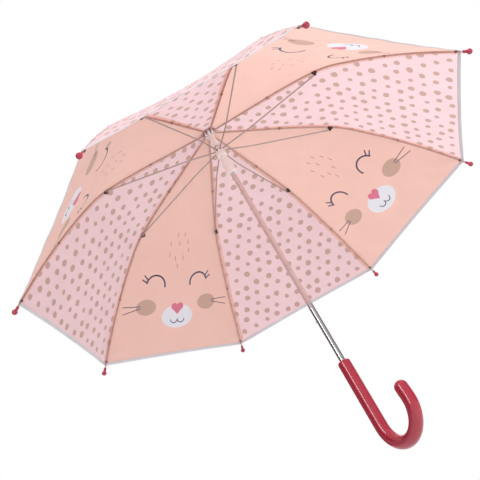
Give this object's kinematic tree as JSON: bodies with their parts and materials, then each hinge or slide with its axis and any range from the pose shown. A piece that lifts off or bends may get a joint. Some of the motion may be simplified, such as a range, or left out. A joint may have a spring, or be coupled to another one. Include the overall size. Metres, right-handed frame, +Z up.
{
  "type": "umbrella",
  "caption": "Child's stick umbrella, open, with a fabric canopy on sprung ribs, stretchers on a sliding runner, ball tips and a hooked plastic handle.",
  "frame": {"origin": "middle of the handle's straight grip, on the shaft's axis", "axes": "+Z up the shaft to the ferrule, +X the way the handle's hook opens"},
  "size_m": [0.7226, 0.7226, 0.6247],
  "materials": {
    "shaft": "polished",
    "rib_wire": "polished",
    "clip": "satin",
    "tie_wire": "satin",
    "runner": "satin, slightly translucent",
    "crown": "satin, slightly translucent",
    "catch": "satin",
    "red_plastic": "gloss",
    "tip_plastic": "gloss",
    "cap_plastic": "gloss",
    "canopy_cloth": "thin woven polyester"
  },
  "bodies": {
    "umbrella_shaft": {"shaft_tube": "shaft", "crown": "crown", "crown_tie_wire": "tie_wire", "canopy_cap": "cap_plastic", "ferrule": "tip_plastic", "handle": "red_plastic"},
    "runner": {"runner": "runner", "runner_tie_wire": "tie_wire"},
    "upper_catch": {"upper_catch": "catch"},
    "lower_catch": {"lower_catch": "catch"},
    "rib_inner_1": {"rib_inner_1": "rib_wire", "rib_clip_1": "clip", "canopy_1": "canopy_cloth"},
    "rib_outer_1": {"rib_outer_1": "rib_wire", "rib_tip_1": "tip_plastic"},
    "stretcher_1": {"stretcher_1": "rib_wire"},
    "rib_inner_2": {"rib_inner_2": "rib_wire", "rib_clip_2": "clip", "canopy_2": "canopy_cloth"},
    "rib_outer_2": {"rib_outer_2": "rib_wire", "rib_tip_2": "tip_plastic"},
    "stretcher_2": {"stretcher_2": "rib_wire"},
    "rib_inner_3": {"rib_inner_3": "rib_wire", "rib_clip_3": "clip", "canopy_3": "canopy_cloth"},
    "rib_outer_3": {"rib_outer_3": "rib_wire", "rib_tip_3": "tip_plastic"},
    "stretcher_3": {"stretcher_3": "rib_wire"},
    "rib_inner_4": {"rib_inner_4": "rib_wire", "rib_clip_4": "clip", "canopy_4": "canopy_cloth"},
    "rib_outer_4": {"rib_outer_4": "rib_wire", "rib_tip_4": "tip_plastic"},
    "stretcher_4": {"stretcher_4": "rib_wire"},
    "rib_inner_5": {"rib_inner_5": "rib_wire", "rib_clip_5": "clip", "canopy_5": "canopy_cloth"},
    "rib_outer_5": {"rib_outer_5": "rib_wire", "rib_tip_5": "tip_plastic"},
    "stretcher_5": {"stretcher_5": "rib_wire"},
    "rib_inner_6": {"rib_inner_6": "rib_wire", "rib_clip_6": "clip", "canopy_6": "canopy_cloth"},
    "rib_outer_6": {"rib_outer_6": "rib_wire", "rib_tip_6": "tip_plastic"},
    "stretcher_6": {"stretcher_6": "rib_wire"},
    "rib_inner_7": {"rib_inner_7": "rib_wire", "rib_clip_7": "clip", "canopy_7": "canopy_cloth"},
    "rib_outer_7": {"rib_outer_7": "rib_wire", "rib_tip_7": "tip_plastic"},
    "stretcher_7": {"stretcher_7": "rib_wire"},
    "rib_inner_8": {"rib_inner_8": "rib_wire", "rib_clip_8": "clip", "canopy_8": "canopy_cloth"},
    "rib_outer_8": {"rib_outer_8": "rib_wire", "rib_tip_8": "tip_plastic"},
    "stretcher_8": {"stretcher_8": "rib_wire"}
  },
  "joints": [
    {"name": "runner_slide", "type": "slide", "parent": "umbrella_shaft", "child": "runner", "axis": [0, 0, -1], "range_m": [0, 0.3369]},
    {"name": "upper_catch_press", "type": "hinge", "parent": "umbrella_shaft", "child": "upper_catch", "pos_m": [-0.00085, -0.00111, 0.412], "axis": [-0.7934, 0.6088, 0], "range_deg": [0, 6], "stiffness_Nm_per_rad": 0.05, "springref_deg": -5.73},
    {"name": "lower_catch_press", "type": "hinge", "parent": "umbrella_shaft", "child": "lower_catch", "pos_m": [-0.00085, -0.00111, 0.102], "axis": [-0.7934, 0.6088, 0], "range_deg": [0, 6], "stiffness_Nm_per_rad": 0.05, "springref_deg": -5.73},
    {"name": "rib_fold_1", "type": "hinge", "parent": "umbrella_shaft", "child": "rib_inner_1", "pos_m": [0.00325, -0.00563, 0.487], "axis": [0.866, 0.5, 0], "range_deg": [0, 67.23], "deforming": ["canopy_1"]},
    {"name": "rib_flex_1", "type": "hinge", "parent": "rib_inner_1", "child": "rib_outer_1", "pos_m": [0.09831, -0.17028, 0.4298], "axis": [-0.866, -0.5, 0], "range_deg": [0, 23.06]},
    {"name": "stretcher_fold_1", "type": "hinge", "parent": "runner", "child": "stretcher_1", "pos_m": [0.00325, -0.00563, 0.447], "axis": [-0.866, -0.5, 0], "range_deg": [0, 89.85]},
    {"name": "rib_fold_2", "type": "hinge", "parent": "umbrella_shaft", "child": "rib_inner_2", "pos_m": [0.00628, -0.00168, 0.487], "axis": [0.2588, 0.9659, 0], "range_deg": [0, 67.23], "deforming": ["canopy_2"]},
    {"name": "rib_flex_2", "type": "hinge", "parent": "rib_inner_2", "child": "rib_outer_2", "pos_m": [0.18992, -0.05089, 0.4298], "axis": [-0.2588, -0.9659, 0], "range_deg": [0, 23.06]},
    {"name": "stretcher_fold_2", "type": "hinge", "parent": "runner", "child": "stretcher_2", "pos_m": [0.00628, -0.00168, 0.447], "axis": [-0.2588, -0.9659, 0], "range_deg": [0, 89.85]},
    {"name": "rib_fold_3", "type": "hinge", "parent": "umbrella_shaft", "child": "rib_inner_3", "pos_m": [0.00563, 0.00325, 0.487], "axis": [-0.5, 0.866, 0], "range_deg": [0, 67.23], "deforming": ["canopy_3"]},
    {"name": "rib_flex_3", "type": "hinge", "parent": "rib_inner_3", "child": "rib_outer_3", "pos_m": [0.17028, 0.09831, 0.4298], "axis": [0.5, -0.866, 0], "range_deg": [0, 23.06]},
    {"name": "stretcher_fold_3", "type": "hinge", "parent": "runner", "child": "stretcher_3", "pos_m": [0.00563, 0.00325, 0.447], "axis": [0.5, -0.866, 0], "range_deg": [0, 89.85]},
    {"name": "rib_fold_4", "type": "hinge", "parent": "umbrella_shaft", "child": "rib_inner_4", "pos_m": [0.00168, 0.00628, 0.487], "axis": [-0.9659, 0.2588, 0], "range_deg": [0, 67.23], "deforming": ["canopy_4"]},
    {"name": "rib_flex_4", "type": "hinge", "parent": "rib_inner_4", "child": "rib_outer_4", "pos_m": [0.05089, 0.18992, 0.4298], "axis": [0.9659, -0.2588, 0], "range_deg": [0, 23.06]},
    {"name": "stretcher_fold_4", "type": "hinge", "parent": "runner", "child": "stretcher_4", "pos_m": [0.00168, 0.00628, 0.447], "axis": [0.9659, -0.2588, 0], "range_deg": [0, 89.85]},
    {"name": "rib_fold_5", "type": "hinge", "parent": "umbrella_shaft", "child": "rib_inner_5", "pos_m": [-0.00325, 0.00563, 0.487], "axis": [-0.866, -0.5, 0], "range_deg": [0, 67.23], "deforming": ["canopy_5"]},
    {"name": "rib_flex_5", "type": "hinge", "parent": "rib_inner_5", "child": "rib_outer_5", "pos_m": [-0.09831, 0.17028, 0.4298], "axis": [0.866, 0.5, 0], "range_deg": [0, 23.06]},
    {"name": "stretcher_fold_5", "type": "hinge", "parent": "runner", "child": "stretcher_5", "pos_m": [-0.00325, 0.00563, 0.447], "axis": [0.866, 0.5, 0], "range_deg": [0, 89.85]},
    {"name": "rib_fold_6", "type": "hinge", "parent": "umbrella_shaft", "child": "rib_inner_6", "pos_m": [-0.00628, 0.00168, 0.487], "axis": [-0.2588, -0.9659, 0], "range_deg": [0, 67.23], "deforming": ["canopy_6"]},
    {"name": "rib_flex_6", "type": "hinge", "parent": "rib_inner_6", "child": "rib_outer_6", "pos_m": [-0.18992, 0.05089, 0.4298], "axis": [0.2588, 0.9659, 0], "range_deg": [0, 23.06]},
    {"name": "stretcher_fold_6", "type": "hinge", "parent": "runner", "child": "stretcher_6", "pos_m": [-0.00628, 0.00168, 0.447], "axis": [0.2588, 0.9659, 0], "range_deg": [0, 89.85]},
    {"name": "rib_fold_7", "type": "hinge", "parent": "umbrella_shaft", "child": "rib_inner_7", "pos_m": [-0.00563, -0.00325, 0.487], "axis": [0.5, -0.866, 0], "range_deg": [0, 67.23], "deforming": ["canopy_7"]},
    {"name": "rib_flex_7", "type": "hinge", "parent": "rib_inner_7", "child": "rib_outer_7", "pos_m": [-0.17028, -0.09831, 0.4298], "axis": [-0.5, 0.866, 0], "range_deg": [0, 23.06]},
    {"name": "stretcher_fold_7", "type": "hinge", "parent": "runner", "child": "stretcher_7", "pos_m": [-0.00563, -0.00325, 0.447], "axis": [-0.5, 0.866, 0], "range_deg": [0, 89.85]},
    {"name": "rib_fold_8", "type": "hinge", "parent": "umbrella_shaft", "child": "rib_inner_8", "pos_m": [-0.00168, -0.00628, 0.487], "axis": [0.9659, -0.2588, 0], "range_deg": [0, 67.23], "deforming": ["canopy_8"]},
    {"name": "rib_flex_8", "type": "hinge", "parent": "rib_inner_8", "child": "rib_outer_8", "pos_m": [-0.05089, -0.18992, 0.4298], "axis": [-0.9659, 0.2588, 0], "range_deg": [0, 23.06]},
    {"name": "stretcher_fold_8", "type": "hinge", "parent": "runner", "child": "stretcher_8", "pos_m": [-0.00168, -0.00628, 0.447], "axis": [-0.9659, 0.2588, 0], "range_deg": [0, 89.85]}
  ],
  "couplings": [
    {"joint": "rib_fold_1", "follows": "runner_slide", "rad_per_m": 3.4831},
    {"joint": "rib_flex_1", "follows": "runner_slide", "rad_per_m": 1.1946},
    {"joint": "stretcher_fold_1", "follows": "runner_slide", "rad_per_m": 4.6546},
    {"joint": "rib_fold_2", "follows": "runner_slide", "rad_per_m": 3.4831},
    {"joint": "rib_flex_2", "follows": "runner_slide", "rad_per_m": 1.1946},
    {"joint": "stretcher_fold_2", "follows": "runner_slide", "rad_per_m": 4.6546},
    {"joint": "rib_fold_3", "follows": "runner_slide", "rad_per_m": 3.4831},
    {"joint": "rib_flex_3", "follows": "runner_slide", "rad_per_m": 1.1946},
    {"joint": "stretcher_fold_3", "follows": "runner_slide", "rad_per_m": 4.6546},
    {"joint": "rib_fold_4", "follows": "runner_slide", "rad_per_m": 3.4831},
    {"joint": "rib_flex_4", "follows": "runner_slide", "rad_per_m": 1.1946},
    {"joint": "stretcher_fold_4", "follows": "runner_slide", "rad_per_m": 4.6546},
    {"joint": "rib_fold_5", "follows": "runner_slide", "rad_per_m": 3.4831},
    {"joint": "rib_flex_5", "follows": "runner_slide", "rad_per_m": 1.1946},
    {"joint": "stretcher_fold_5", "follows": "runner_slide", "rad_per_m": 4.6546},
    {"joint": "rib_fold_6", "follows": "runner_slide", "rad_per_m": 3.4831},
    {"joint": "rib_flex_6", "follows": "runner_slide", "rad_per_m": 1.1946},
    {"joint": "stretcher_fold_6", "follows": "runner_slide", "rad_per_m": 4.6546},
    {"joint": "rib_fold_7", "follows": "runner_slide", "rad_per_m": 3.4831},
    {"joint": "rib_flex_7", "follows": "runner_slide", "rad_per_m": 1.1946},
    {"joint": "stretcher_fold_7", "follows": "runner_slide", "rad_per_m": 4.6546},
    {"joint": "rib_fold_8", "follows": "runner_slide", "rad_per_m": 3.4831},
    {"joint": "rib_flex_8", "follows": "runner_slide", "rad_per_m": 1.1946},
    {"joint": "stretcher_fold_8", "follows": "runner_slide", "rad_per_m": 4.6546}
  ]
}
